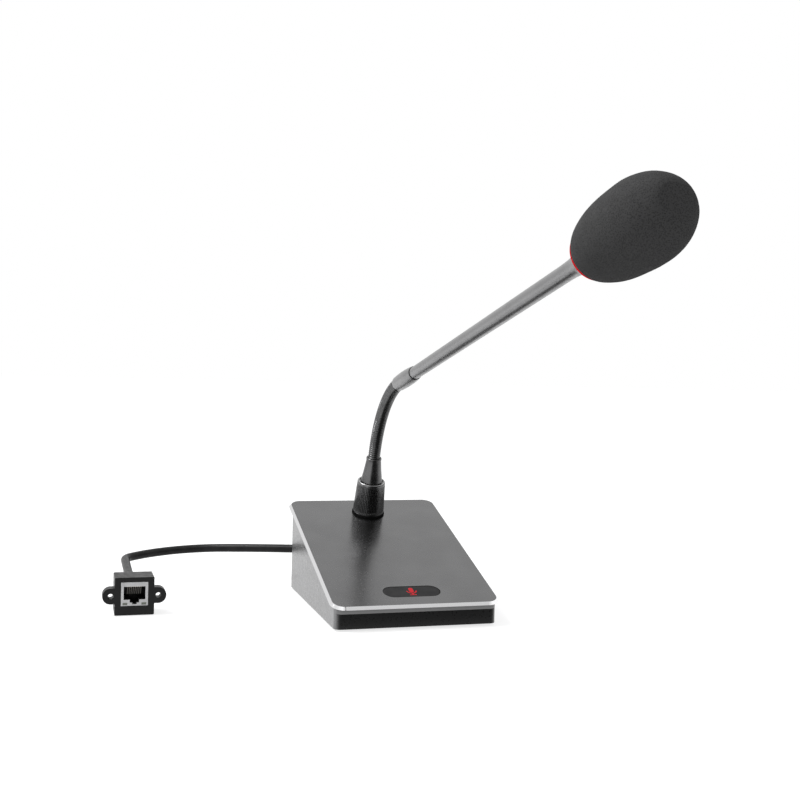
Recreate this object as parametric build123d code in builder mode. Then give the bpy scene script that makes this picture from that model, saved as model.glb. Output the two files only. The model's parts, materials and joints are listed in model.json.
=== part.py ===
from build123d import *
import math
import os

# Gooseneck podium microphone: sloping desk base, plug-in flexible neck, straight stem
# with a capsule head under a foam windscreen, and a cable that ends in a panel jack.
# Origin: centre of the top plate's plan outline, at table level. -Y is the talker's side.

os.makedirs("parts", exist_ok=True)

# ---------------------------------------------------------------- driving dimensions (mm)
PLATE_WIDTH = 96.0
PLATE_SLOPE = 17.85            # degrees from the table
PLATE_LENGTH = 136.0           # along the slope
PLATE_THICKNESS = 1.5
PLATE_BEVEL = 1.4
PLATE_CORNER = 7.7
PAD_PROUD = 0.8                # the rubber pad lifts the base this far off the table
FRONT_EDGE_HEIGHT = 11.5
OVERHANG_SIDE = 2.3
OVERHANG_FRONT = 2.5
OVERHANG_BACK = 4.4
BODY_CORNER = 3.8
BODY_WALL = 2.0
FRAME_THICKNESS = 3.2
COVER_THICKNESS = 1.5
FIT = 0.15                     # gap round pieces that drop into place
RUNNING = 0.08                 # radial clearance of pieces that move

BUTTON_LENGTH = 32.5
BUTTON_WIDTH = 11.5
BUTTON_UP_SLOPE = 15.4         # button centre, from the plate's front edge
BUTTON_TRAVEL = 0.6

NECK_UP_SLOPE = 116.5          # neck axis, from the plate's front edge
NECK_RADIUS = 3.75
NECK_BEND_RADIUS = 70.4
CONE_TOP = 37.4                # height of the cone's top above the plate
STEM_TILT = 78.0               # stem axis, degrees from vertical
JOINT_COUNT = 9
JOINT_FIRST = 3.0              # first neck joint, along the neck from the cone's top
JOINT_PITCH = 7.5
BALL_RADIUS = 2.7
BALL_NECK_RADIUS = 1.6
CUP_LIP = 0.9                  # how far the cup reaches past the ball's centre
SHOULDER_GAP = 2.1             # from the ball's centre back to its own link's shoulder

STEM_RADIUS = 3.55
STEM_BORE = 2.6
FERRULE_START = -8.0           # places along the stem axis, from the end of the neck's arc
FERRULE_END = 29.5
STEM_START = 18.0
FLARE_START = 218.0
FLARE_END = 252.0
FLARE_RADIUS = 10.25
RING_RADIUS = 10.6
RING_END = 254.3
HEAD_RADIUS = 8.0
HEAD_END = 280.0
FOAM_WIDEST = 287.2
FOAM_RADIUS = 15.8
FOAM_REAR = 40.7               # semi-axes of the foam's two half-eggs
FOAM_FRONT = 24.6
FOAM_REAR_POWER = 2.56
FOAM_FACET = 309.5

CABLE_RADIUS = 2.65
CABLE_EXIT_X = -9.7
CABLE_EXIT_Z = 21.0
CABLE_BALL = 2.0
CABLE_END_Z = 11.5
JACK_X = -145.6
JACK_FRONT_Y = -3.7
JACK_WIDTH = 21.4
JACK_HEIGHT = 20.9
JACK_DEPTH = 17.7
EAR_PITCH = 25.8
EAR_RADIUS = 4.4
EAR_HOLE = 1.5
EAR_THICKNESS = 7.0
EAR_HEIGHT = 10.7

# ---------------------------------------------------------------- worked-out places
slope = math.radians(PLATE_SLOPE)
tilt = math.radians(STEM_TILT)
plate_depth = PLATE_LENGTH * math.cos(slope)
normal = (0, -math.sin(slope), math.cos(slope))
plate_plane = Plane(origin=(0, -plate_depth / 2, FRONT_EDGE_HEIGHT), x_dir=(1, 0, 0), z_dir=normal)
body_width = PLATE_WIDTH - 2 * OVERHANG_SIDE
body_front = -plate_depth / 2 + OVERHANG_FRONT
body_back = plate_depth / 2 - OVERHANG_BACK
body_length = body_back - body_front
body_middle = (body_front + body_back) / 2
cover_top = PAD_PROUD + COVER_THICKNESS
frame_under = plate_plane.offset(-FRAME_THICKNESS)


def on_slope(x, up, out=0.0):
    """A point x across, up the slope from the front edge, and out from the plate's underside."""
    return plate_plane.from_local_coords(Vector(x, up, out))


def tube(plane, outer, inner, start, end):
    """A plain tube, or a rod when inner is 0, along a plane's normal."""
    with BuildPart(mode=Mode.PRIVATE) as made:
        with BuildSketch(plane.offset(start)):
            Circle(outer)
            if inner > 0:
                Circle(inner, mode=Mode.SUBTRACT)
        extrude(amount=end - start)
    return made.part


def finish(part, name):
    part.label = name
    export_step(part, f"parts/{name}.step")
    return part


def screws(name, places, head_radius, head_height, shank_radius, length):
    """Identical screws: each place is a plane at the head's underside, pointing to the head."""
    with BuildPart() as made:
        for place in places:
            add(tube(place, head_radius, 0, 0, head_height))
            add(tube(place, shank_radius, 0, -length, 0))
    return finish(made.part, name)


# ---------------------------------------------------------------- base shell
BLANK_HEIGHT = 70.0             # taller than any point of the sloping top
BOSS_RADIUS = 3.6
BOSS_HEIGHT = 6.0
SCREW_FIT = 0.05                # radial gap round screws and pressed-in pieces
boss_x = body_width / 2 - BODY_WALL - BOSS_RADIUS + 0.3
boss_front = body_front + BODY_WALL + BOSS_RADIUS - 0.2
boss_back = body_back - BODY_WALL - BOSS_RADIUS + 0.2
boss_places = [(x, y) for x in (-boss_x, boss_x) for y in (boss_front, boss_back)]
SCREW_SHANK = 1.4
SCREW_HEAD = 2.7
GLAND_RADIUS = 4.4

with BuildPart() as housing:
    with BuildSketch(Plane.XY.offset(PAD_PROUD)):
        with Locations((0, body_middle)):
            RectangleRounded(body_width, body_length, BODY_CORNER)
            RectangleRounded(
                body_width - 2 * BODY_WALL,
                body_length - 2 * BODY_WALL,
                BODY_CORNER - BODY_WALL,
                mode=Mode.SUBTRACT,
            )
    extrude(amount=BLANK_HEIGHT)
    split(bisect_by=frame_under, keep=Keep.BOTTOM)
    with BuildSketch(Plane.XY.offset(cover_top)):
        with Locations(*boss_places):
            Circle(BOSS_RADIUS)
    extrude(amount=BOSS_HEIGHT)
    with BuildSketch(Plane.XY.offset(cover_top)):
        with Locations(*boss_places):
            Circle(SCREW_SHANK + SCREW_FIT)
    extrude(amount=BOSS_HEIGHT, mode=Mode.SUBTRACT)
    with BuildSketch(Plane.XZ.offset(-body_back - 1)):
        with Locations((CABLE_EXIT_X, CABLE_EXIT_Z)):
            Circle(GLAND_RADIUS + SCREW_FIT)
    extrude(amount=BODY_WALL + 2, mode=Mode.SUBTRACT)
finish(housing.part, "housing")

FRAME_RIM = 3.2
FRAME_INNER_CORNER = 1.5
with BuildPart() as top_frame:
    with BuildSketch(Plane.XY.offset(PAD_PROUD)):
        with Locations((0, body_middle)):
            RectangleRounded(body_width, body_length, BODY_CORNER)
            RectangleRounded(
                body_width - 2 * FRAME_RIM,
                body_length - 2 * FRAME_RIM,
                FRAME_INNER_CORNER,
                mode=Mode.SUBTRACT,
            )
    extrude(amount=BLANK_HEIGHT)
    split(bisect_by=frame_under, keep=Keep.TOP)
    split(bisect_by=plate_plane, keep=Keep.BOTTOM)
finish(top_frame.part, "top_frame")

POST_X = 21.5
POST_RADIUS = 2.2
POST_BORE = 0.9
BUTTON_BOARD_TOP = -5.6
SOCKET_BOSS = 7.5
bevel_angle = math.degrees(math.atan2(PLATE_BEVEL, PLATE_THICKNESS))

with BuildPart() as top_plate:
    with BuildSketch(plate_plane):
        with Locations((0, PLATE_LENGTH / 2)):
            RectangleRounded(PLATE_WIDTH, PLATE_LENGTH, PLATE_CORNER)
    extrude(amount=PLATE_THICKNESS, taper=bevel_angle)
    with BuildSketch(plate_plane):
        with Locations((0, BUTTON_UP_SLOPE)):
            SlotOverall(BUTTON_LENGTH + 2 * FIT, BUTTON_WIDTH + 2 * FIT)
        with Locations((0, NECK_UP_SLOPE)):
            Circle(SOCKET_BOSS + SCREW_FIT)
    extrude(amount=PLATE_THICKNESS, mode=Mode.SUBTRACT)
    with BuildSketch(plate_plane):
        with Locations((-POST_X, BUTTON_UP_SLOPE), (POST_X, BUTTON_UP_SLOPE)):
            Circle(POST_RADIUS)
            Circle(POST_BORE, mode=Mode.SUBTRACT)
    extrude(amount=BUTTON_BOARD_TOP)
finish(top_plate.part, "top_plate")

PAD_INSET = 9.0                 # from the pad's edge to the housing's outside
PAD_CORNER = 4.0
PAD_RECESS = 0.7
HEAD_RECESS = 0.9
BALLAST_SCREW_X = 24.0
BALLAST_SCREW_Y = (-24.0, 20.0)
ballast_screw_places = [(x, y) for x in (-BALLAST_SCREW_X, BALLAST_SCREW_X) for y in BALLAST_SCREW_Y]
pad_width = body_width - 2 * PAD_INSET
pad_length = body_length - 2 * PAD_INSET

with BuildPart() as bottom_cover:
    with BuildSketch(Plane.XY.offset(PAD_PROUD)):
        with Locations((0, body_middle)):
            RectangleRounded(
                body_width - 2 * (BODY_WALL + FIT),
                body_length - 2 * (BODY_WALL + FIT),
                BODY_CORNER - BODY_WALL - FIT,
            )
        with Locations(*boss_places, *ballast_screw_places):
            Circle(SCREW_SHANK + 0.1, mode=Mode.SUBTRACT)
    extrude(amount=COVER_THICKNESS)
    with BuildSketch(Plane.XY.offset(PAD_PROUD)):
        with Locations((0, body_middle)):
            RectangleRounded(pad_width + 2 * FIT, pad_length + 2 * FIT, PAD_CORNER + FIT)
    extrude(amount=PAD_RECESS, mode=Mode.SUBTRACT)
    with BuildSketch(Plane.XY.offset(PAD_PROUD)):
        with Locations(*boss_places, *ballast_screw_places):
            Circle(SCREW_HEAD + FIT)
    extrude(amount=HEAD_RECESS, mode=Mode.SUBTRACT)
finish(bottom_cover.part, "bottom_cover")

with BuildPart() as rubber_pad:
    with BuildSketch():
        with Locations((0, body_middle)):
            RectangleRounded(pad_width, pad_length, PAD_CORNER)
        with Locations(*ballast_screw_places):
            Circle(SCREW_HEAD + 2 * FIT, mode=Mode.SUBTRACT)
    extrude(amount=PAD_PROUD + PAD_RECESS)
finish(rubber_pad.part, "rubber_pad")

head_seat = PAD_PROUD + HEAD_RECESS
BALLAST_THICKNESS = 10.0
BALLAST_TOP = cover_top + BALLAST_THICKNESS
HEAD_HEIGHT = 0.8
down = (0, 0, -1)
cover_places = [Plane(origin=(x, y, head_seat), z_dir=down) for x, y in boss_places]
screws("cover_screws", cover_places, SCREW_HEAD, HEAD_HEIGHT, SCREW_SHANK, 5.8)
ballast_places = [Plane(origin=(x, y, head_seat), z_dir=down) for x, y in ballast_screw_places]
screws("ballast_screws", ballast_places, SCREW_HEAD, HEAD_HEIGHT, SCREW_SHANK, 8.0)

# ---------------------------------------------------------------- inside the base
BALLAST_WIDTH = 76.0
BALLAST_LENGTH = 70.0
BALLAST_Y = -3.5
BOARD_WIDTH = 62.0
BOARD_LENGTH = 56.0
BOARD_Y = 8.0
BOARD_UNDER = 18.0
BOARD_THICKNESS = 1.6
STANDOFF_X = 27.0
STANDOFF_Y = 24.0
STANDOFF_BORE = 1.3
standoff_places = [
    (x, BOARD_Y + y) for x in (-STANDOFF_X, STANDOFF_X) for y in (-STANDOFF_Y, STANDOFF_Y)
]

with BuildPart() as ballast_weight:
    with BuildSketch(Plane.XY.offset(cover_top)):
        with Locations((0, BALLAST_Y)):
            RectangleRounded(BALLAST_WIDTH, BALLAST_LENGTH, 2)
        with Locations(*ballast_screw_places):
            Circle(SCREW_SHANK + SCREW_FIT, mode=Mode.SUBTRACT)
    extrude(amount=BALLAST_THICKNESS)
    chamfer(ballast_weight.faces().sort_by(Axis.Z)[-1].outer_wire().edges(), length=0.8)
finish(ballast_weight.part, "ballast_weight")

with BuildPart() as board_standoffs:
    with BuildSketch(Plane.XY.offset(BALLAST_TOP)):
        with Locations(*standoff_places):
            RegularPolygon(3.0, 6)
            Circle(STANDOFF_BORE, mode=Mode.SUBTRACT)
    extrude(amount=BOARD_UNDER - BALLAST_TOP)
finish(board_standoffs.part, "board_standoffs")

board_top = BOARD_UNDER + BOARD_THICKNESS
with BuildPart() as main_board:
    with BuildSketch(Plane.XY.offset(BOARD_UNDER)):
        with Locations((0, BOARD_Y)):
            RectangleRounded(BOARD_WIDTH, BOARD_LENGTH, 2)
        with Locations(*standoff_places):
            Circle(STANDOFF_BORE + SCREW_FIT, mode=Mode.SUBTRACT)
    extrude(amount=BOARD_THICKNESS)
finish(main_board.part, "main_board")

board_screw_places = [Plane(origin=(x, y, board_top), z_dir=(0, 0, 1)) for x, y in standoff_places]
screws("board_screws", board_screw_places, 2.4, 1.4, 1.2, 6.0)

with BuildPart() as processor_chip:
    with BuildSketch(Plane.XY.offset(board_top)):
        with Locations((-6, 6)):
            Rectangle(14, 14)
    extrude(amount=1.3)
    chamfer(processor_chip.faces().sort_by(Axis.Z)[-1].edges(), length=0.2)
finish(processor_chip.part, "processor_chip")

CAPACITOR_PLACES = [(14, 24), (14, 14), (22, 24)]
CONNECTOR_PLACES = [(-12, 30), (6, 30)]
with BuildPart() as board_components:
    with BuildSketch(Plane.XY.offset(board_top)):
        with Locations(*CAPACITOR_PLACES):
            Circle(3.0)
    extrude(amount=6.0)
    chamfer(board_components.faces().group_by(Axis.Z)[-1].edges(), length=0.3)
    with BuildSketch(Plane.XY.offset(board_top)):
        with Locations(*CONNECTOR_PLACES):
            Rectangle(11, 5)
    extrude(amount=4.5)
    with BuildSketch(Plane.XY.offset(board_top + 1.2)):
        with Locations(*CONNECTOR_PLACES):
            Rectangle(9, 3)
    extrude(amount=4.0, mode=Mode.SUBTRACT)
finish(board_components.part, "board_components")

# ---------------------------------------------------------------- talk button
FLANGE_TOP = -0.05
FLANGE_THICKNESS = 1.0
CAP_TOP = PLATE_THICKNESS - 0.05
GLYPH_DEPTH = 0.5
button_plane = Plane(origin=on_slope(0, BUTTON_UP_SLOPE), x_dir=(1, 0, 0), z_dir=normal)


def glyph_sketch():
    """A generic microphone sign: capsule, cradle, stalk and foot."""
    with BuildSketch(Plane.XY, mode=Mode.PRIVATE) as sign:
        with Locations((0, 0.8)):
            Circle(3.0)
            Circle(2.3, mode=Mode.SUBTRACT)
        with Locations((0, 2.9)):
            Rectangle(6.4, 4.2, mode=Mode.SUBTRACT)
        with Locations((0, 1.5)):
            SlotOverall(5.0, 2.6, rotation=90)
        with Locations((0, -2.7)):
            Rectangle(0.9, 1.6)
        with Locations((0, -3.65)):
            Rectangle(3.8, 0.7)
    return sign.sketch


with BuildPart() as button_cap:
    with BuildSketch(button_plane.offset(FLANGE_TOP - FLANGE_THICKNESS)):
        SlotOverall(BUTTON_LENGTH + 2.6, BUTTON_WIDTH + 2.6)
    extrude(amount=FLANGE_THICKNESS)
    with BuildSketch(button_plane.offset(FLANGE_TOP)):
        SlotOverall(BUTTON_LENGTH, BUTTON_WIDTH)
    extrude(amount=CAP_TOP - FLANGE_TOP)
    chamfer(button_cap.faces().sort_by(Axis((0, 0, 0), normal))[-1].edges(), length=0.3)
    with BuildSketch(button_plane.offset(CAP_TOP - GLYPH_DEPTH)):
        add(glyph_sketch())
    extrude(amount=GLYPH_DEPTH, mode=Mode.SUBTRACT)
finish(button_cap.part, "button_cap")

with BuildPart() as button_glyph:
    with BuildSketch(button_plane.offset(CAP_TOP - GLYPH_DEPTH)):
        add(glyph_sketch())
    extrude(amount=GLYPH_DEPTH)
finish(button_glyph.part, "button_glyph")

BUTTON_BOARD_THICKNESS = 1.0
SWITCH_X = 10.0
SWITCH_SIZE = 6.0
SWITCH_FLOOR = 0.5
with BuildPart() as button_board:
    with BuildSketch(button_plane.offset(BUTTON_BOARD_TOP - BUTTON_BOARD_THICKNESS)):
        RectangleRounded(2 * POST_X + 6, 12, 1)
        with Locations((-POST_X, 0), (POST_X, 0)):
            Circle(1.0, mode=Mode.SUBTRACT)
    extrude(amount=BUTTON_BOARD_THICKNESS)
finish(button_board.part, "button_board")

PLUNGER_RADIUS = 1.5
SWITCH_TOP = -3.1
plunger_foot = BUTTON_BOARD_TOP + SWITCH_FLOOR + BUTTON_TRAVEL + 0.1
with BuildPart() as tact_switches:
    with BuildSketch(button_plane.offset(BUTTON_BOARD_TOP)):
        with Locations((-SWITCH_X, 0), (SWITCH_X, 0)):
            RectangleRounded(SWITCH_SIZE, SWITCH_SIZE, 0.5)
    extrude(amount=SWITCH_TOP - BUTTON_BOARD_TOP)
    with BuildSketch(button_plane.offset(BUTTON_BOARD_TOP + SWITCH_FLOOR)):
        with Locations((-SWITCH_X, 0), (SWITCH_X, 0)):
            Circle(PLUNGER_RADIUS + RUNNING)
    extrude(amount=SWITCH_TOP - BUTTON_BOARD_TOP, mode=Mode.SUBTRACT)
finish(tact_switches.part, "tact_switches")

with BuildPart() as switch_plungers:
    with BuildSketch(button_plane.offset(plunger_foot)):
        with Locations((-SWITCH_X, 0), (SWITCH_X, 0)):
            Circle(PLUNGER_RADIUS)
    extrude(amount=FLANGE_TOP - FLANGE_THICKNESS - plunger_foot)
finish(switch_plungers.part, "switch_plungers")

with BuildPart() as indicator_led:
    with BuildSketch(button_plane.offset(BUTTON_BOARD_TOP)):
        Rectangle(3.2, 2.8)
    extrude(amount=1.4)
    chamfer(indicator_led.faces().sort_by(Axis((0, 0, 0), normal))[-1].edges(), length=0.3)
finish(indicator_led.part, "indicator_led")

under_board = button_plane.offset(BUTTON_BOARD_TOP - BUTTON_BOARD_THICKNESS)
button_screw_places = [
    Plane(origin=under_board.from_local_coords(Vector(x, 0, 0)), z_dir=-under_board.z_dir)
    for x in (-POST_X, POST_X)
]
screws("button_board_screws", button_screw_places, 1.7, 1.0, 0.85, 4.5)

# ---------------------------------------------------------------- neck socket and plug
SOCKET_BORE = 6.0 + RUNNING
SOCKET_TOP = 7.0
SOCKET_FLOOR = -12.6
SOCKET_END = -14.6
SOCKET_BODY = 7.0
SOCKET_FLANGE = 9.5
INSERT_TOP = -7.0
PIN_COUNT = 3
PIN_RADIUS = 0.8
CONTACT_WALL = 0.35
PIN_CIRCLE = 3.0
SEAT_RADIUS = 10.1
SEAT_HEIGHT = 1.1
neck_base = Plane(
    origin=on_slope(0, NECK_UP_SLOPE, PLATE_THICKNESS), x_dir=(1, 0, 0), z_dir=normal
)

with BuildPart() as neck_socket:
    add(tube(neck_base, SOCKET_BODY, 0, SOCKET_END, 0))
    add(tube(neck_base, SOCKET_FLANGE, 0, -PLATE_THICKNESS - 2, -PLATE_THICKNESS))
    add(tube(neck_base, SOCKET_BOSS, 0, -PLATE_THICKNESS, SOCKET_TOP))
    add(tube(neck_base, SOCKET_BORE, 0, SOCKET_FLOOR, SOCKET_TOP), mode=Mode.SUBTRACT)
finish(neck_socket.part, "neck_socket")

with BuildPart() as seat_ring:
    add(tube(neck_base, SEAT_RADIUS, SOCKET_BOSS + 0.03, 0, SEAT_HEIGHT))
    chamfer(seat_ring.faces().sort_by(Axis((0, 0, 0), normal))[-1].outer_wire().edges(), length=0.3)
finish(seat_ring.part, "seat_ring")

with BuildPart() as socket_insert:
    with BuildSketch(neck_base.offset(SOCKET_FLOOR)):
        Circle(SOCKET_BORE)
        with PolarLocations(PIN_CIRCLE, PIN_COUNT, start_angle=90):
            Circle(PIN_RADIUS + CONTACT_WALL, mode=Mode.SUBTRACT)
    extrude(amount=INSERT_TOP - SOCKET_FLOOR)
finish(socket_insert.part, "socket_insert")

with BuildPart() as socket_contacts:
    with BuildSketch(neck_base.offset(SOCKET_FLOOR)):
        with PolarLocations(PIN_CIRCLE, PIN_COUNT, start_angle=90):
            Circle(PIN_RADIUS + CONTACT_WALL)
            Circle(PIN_RADIUS + RUNNING, mode=Mode.SUBTRACT)
    extrude(amount=INSERT_TOP - SOCKET_FLOOR)
finish(socket_contacts.part, "socket_contacts")

PLUG_FOOT = INSERT_TOP + 0.3
PLUG_NECK = 5.0
PLUG_FLANGE_END = 10.0
CONE_START = 21.9
with BuildPart() as neck_plug:
    add(tube(neck_base, SOCKET_BORE - RUNNING, 0, PLUG_FOOT, SOCKET_TOP + 0.3))
    add(tube(neck_base, SOCKET_BOSS, 0, SOCKET_TOP + 0.3, PLUG_FLANGE_END))
    add(tube(neck_base, PLUG_NECK, 0, PLUG_FLANGE_END, CONE_START + 0.6))
finish(neck_plug.part, "neck_plug")

with BuildPart() as plug_pins:
    with BuildSketch(neck_base.offset(SOCKET_FLOOR + 1.0)):
        with PolarLocations(PIN_CIRCLE, PIN_COUNT, start_angle=90):
            Circle(PIN_RADIUS)
    extrude(amount=PLUG_FOOT - SOCKET_FLOOR - 1.0)
finish(plug_pins.part, "plug_pins")

COLLAR_START = SEAT_HEIGHT + 0.15
COLLAR_END = 21.8
COLLAR_FOOT_RADIUS = 9.6
COLLAR_TOP_RADIUS = 8.65
collar_section = Plane(origin=neck_base.origin, x_dir=(1, 0, 0), z_dir=neck_base.y_dir * -1)
with BuildPart() as lock_collar:
    with BuildSketch(collar_section):
        Polygon(
            (SOCKET_BOSS + RUNNING, COLLAR_START),
            (COLLAR_FOOT_RADIUS, COLLAR_START),
            (COLLAR_FOOT_RADIUS, COLLAR_START + 2),
            (COLLAR_TOP_RADIUS, COLLAR_END - 0.5),
            (COLLAR_TOP_RADIUS - 0.5, COLLAR_END),
            (COLLAR_TOP_RADIUS - 1.0, COLLAR_END),
            (COLLAR_TOP_RADIUS - 1.2, COLLAR_END - 0.7),
            (PLUG_NECK + RUNNING, COLLAR_END - 0.7),
            (PLUG_NECK + RUNNING, PLUG_FLANGE_END + 0.2),
            (SOCKET_BOSS + RUNNING, PLUG_FLANGE_END + 0.2),
            align=None,
        )
    revolve(axis=Axis(neck_base.origin, neck_base.z_dir))
finish(lock_collar.part, "lock_collar")

CONE_FOOT_RADIUS = 6.65
CONE_LIP_RADIUS = 4.75
with BuildPart() as strain_cone:
    with BuildSketch(collar_section):
        Polygon(
            (PLUG_NECK, CONE_START),
            (CONE_FOOT_RADIUS, CONE_START),
            (CONE_LIP_RADIUS - 0.15, CONE_TOP - 1.6),
            (CONE_LIP_RADIUS, CONE_TOP - 1.3),
            (CONE_LIP_RADIUS, CONE_TOP - 0.3),
            (CONE_LIP_RADIUS - 0.3, CONE_TOP),
            (NECK_RADIUS + 0.15, CONE_TOP),
            (NECK_RADIUS + 0.15, CONE_START + 0.6),
            (PLUG_NECK, CONE_START + 0.6),
            align=None,
        )
    revolve(axis=Axis(neck_base.origin, neck_base.z_dir))
finish(strain_cone.part, "strain_cone")

# ---------------------------------------------------------------- flexible neck
neck_start = neck_base.from_local_coords(Vector(0, 0, CONE_TOP))
bend_centre = neck_start + Vector(0, -math.cos(slope), -math.sin(slope)) * NECK_BEND_RADIUS
neck_arc_length = NECK_BEND_RADIUS * (tilt - slope)


def neck_point(along):
    """A point on the neck's centre line, which bends forward in the mid plane."""
    angle = slope + along / NECK_BEND_RADIUS
    return bend_centre + Vector(0, math.cos(angle), math.sin(angle)) * NECK_BEND_RADIUS


joints = [neck_point(JOINT_FIRST + JOINT_PITCH * i) for i in range(JOINT_COUNT)]
stem_origin = neck_point(neck_arc_length)
stem_axis = (0, -math.sin(tilt), math.cos(tilt))
stem_plane = Plane(origin=stem_origin, x_dir=(1, 0, 0), z_dir=stem_axis)
stem_section = Plane(origin=stem_origin, x_dir=(1, 0, 0), z_dir=stem_plane.y_dir * -1)
stem_line = Axis(stem_origin, stem_axis)


def ball(centre, pole, radius):
    """A ball whose poles lie along the link's own line."""
    return Plane(origin=centre, z_dir=pole).location * Sphere(radius, mode=Mode.PRIVATE)


def neck_link(start, end, cup, tip):
    """One link: a cup round the ball below it, a barrel, and a ball at the next joint."""
    line = Plane(origin=start, x_dir=(1, 0, 0), z_dir=end - start)
    span = (end - start).length
    with BuildPart(mode=Mode.PRIVATE) as link:
        barrel_end = span - SHOULDER_GAP if tip else span
        add(tube(line, NECK_RADIUS, 0, -CUP_LIP if cup else 0, barrel_end))
        if tip:
            add(tube(line, BALL_NECK_RADIUS, 0, barrel_end, span))
            add(ball(end, line.z_dir, BALL_RADIUS))
        if cup:
            add(ball(start, line.z_dir, BALL_RADIUS + RUNNING), mode=Mode.SUBTRACT)
    return link.part


root_end = neck_base.from_local_coords(Vector(0, 0, CONE_START + 0.7))
finish(neck_link(root_end, joints[0], False, True), "neck_link_0")
for number in range(1, JOINT_COUNT):
    link = neck_link(joints[number - 1], joints[number], True, True)
    finish(link, f"neck_link_{number}")

TAIL_RADIUS = 2.6
with BuildPart() as last_link:
    last_span = neck_point(65.6) - joints[-1]
    last_plane = Plane(origin=joints[-1], x_dir=(1, 0, 0), z_dir=last_span)
    add(tube(last_plane, NECK_RADIUS, 0, -CUP_LIP, 2.1))
    add(tube(last_plane, TAIL_RADIUS - 0.3, 0, 2.1, 8.0))
    add(ball(joints[-1], last_plane.z_dir, BALL_RADIUS + RUNNING), mode=Mode.SUBTRACT)
    add(tube(stem_plane, TAIL_RADIUS - 0.3, 0, -4.0, 2.0))
finish(last_link.part, f"neck_link_{JOINT_COUNT}")

# ---------------------------------------------------------------- stem and head
with BuildPart() as ferrule:
    with BuildSketch(stem_section):
        with BuildLine():
            Line((4.05, FERRULE_START), (4.2, FERRULE_START))
            Line((4.2, FERRULE_START), (4.35, FERRULE_START + 0.4))
            Spline((4.35, FERRULE_START + 0.4), (4.66, 12), (4.55, 22), (3.85, FERRULE_END))
            Line((3.85, FERRULE_END), (STEM_RADIUS, FERRULE_END))
            Line((STEM_RADIUS, FERRULE_END), (STEM_RADIUS, STEM_START))
            Line((STEM_RADIUS, STEM_START), (TAIL_RADIUS, STEM_START))
            Line((TAIL_RADIUS, STEM_START), (TAIL_RADIUS, -1.0))
            Line((TAIL_RADIUS, -1.0), (4.05, -4.5))
            Line((4.05, -4.5), (4.05, FERRULE_START))
        make_face()
    revolve(axis=stem_line)
finish(ferrule.part, "ferrule")


def flare(along):
    """Radius of the stem's trumpet end."""
    share = (along - FLARE_START) / (FLARE_END - FLARE_START)
    return STEM_RADIUS + (FLARE_RADIUS - STEM_RADIUS) * share**4.5


flare_length = FLARE_END - FLARE_START
flare_points = [
    (flare(FLARE_START + flare_length * share), FLARE_START + flare_length * share)
    for share in (0, 0.3, 0.5, 0.65, 0.78, 0.88, 0.95, 1)
]
FLARE_LIP = 1.6
FLARE_CAVITY = 9.0
with BuildPart() as stem_tube:
    with BuildSketch(stem_section):
        with BuildLine():
            Line((STEM_BORE, STEM_START), (STEM_RADIUS, STEM_START))
            Line((STEM_RADIUS, STEM_START), flare_points[0])
            Spline(*flare_points, tangents=[(0, 1), (1, 0.75)])
            Line(flare_points[-1], (FLARE_RADIUS - FLARE_LIP, FLARE_END))
            Line((FLARE_RADIUS - FLARE_LIP, FLARE_END), (STEM_BORE, FLARE_END - FLARE_CAVITY))
            Line((STEM_BORE, FLARE_END - FLARE_CAVITY), (STEM_BORE, STEM_START))
        make_face()
    revolve(axis=stem_line)
finish(stem_tube.part, "stem_tube")

with BuildPart() as led_ring:
    with BuildSketch(stem_section):
        with Locations(((RING_RADIUS + HEAD_RADIUS) / 2, (FLARE_END + RING_END) / 2)):
            RectangleRounded(RING_RADIUS - HEAD_RADIUS - 0.1, RING_END - FLARE_END, 0.4)
    revolve(axis=stem_line)
finish(led_ring.part, "led_ring")

WIRE_HOLE = 2.0
with BuildPart() as led_board:
    add(tube(stem_plane, HEAD_RADIUS - 0.1, WIRE_HOLE, FLARE_END, FLARE_END + 1.0))
finish(led_board.part, "led_board")

with BuildPart() as head_leds:
    with BuildSketch(stem_plane.offset(FLARE_END + 1.0)):
        with PolarLocations(6.0, 6):
            Rectangle(1.6, 2.0)
    extrude(amount=0.7)
finish(head_leds.part, "head_leds")

HEAD_START = FLARE_END + 2.0
HEAD_WALL = 1.2
with BuildPart() as capsule_housing:
    add(tube(stem_plane, HEAD_RADIUS, HEAD_RADIUS - HEAD_WALL, HEAD_START, HEAD_END))
    add(tube(stem_plane, HEAD_RADIUS, WIRE_HOLE, HEAD_START, HEAD_START + HEAD_WALL))
    with BuildSketch(stem_plane.offset(HEAD_START + 8)):
        with PolarLocations(HEAD_RADIUS, 8):
            Rectangle(4, 1.4)
    extrude(amount=10, mode=Mode.SUBTRACT)
finish(capsule_housing.part, "capsule_housing")

CAPSULE_RADIUS = 4.9
CAPSULE_START = 268.0
CAPSULE_END = 275.0
with BuildPart() as capsule_mount:
    mount_radius = HEAD_RADIUS - HEAD_WALL - SCREW_FIT
    add(tube(stem_plane, mount_radius, CAPSULE_RADIUS, CAPSULE_START + 1, CAPSULE_END - 1))
finish(capsule_mount.part, "capsule_mount")

with BuildPart() as mic_capsule:
    add(tube(stem_plane, CAPSULE_RADIUS, 0, CAPSULE_START, CAPSULE_END))
    chamfer(mic_capsule.edges().filter_by(GeomType.CIRCLE), length=0.3)
finish(mic_capsule.part, "mic_capsule")

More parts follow.
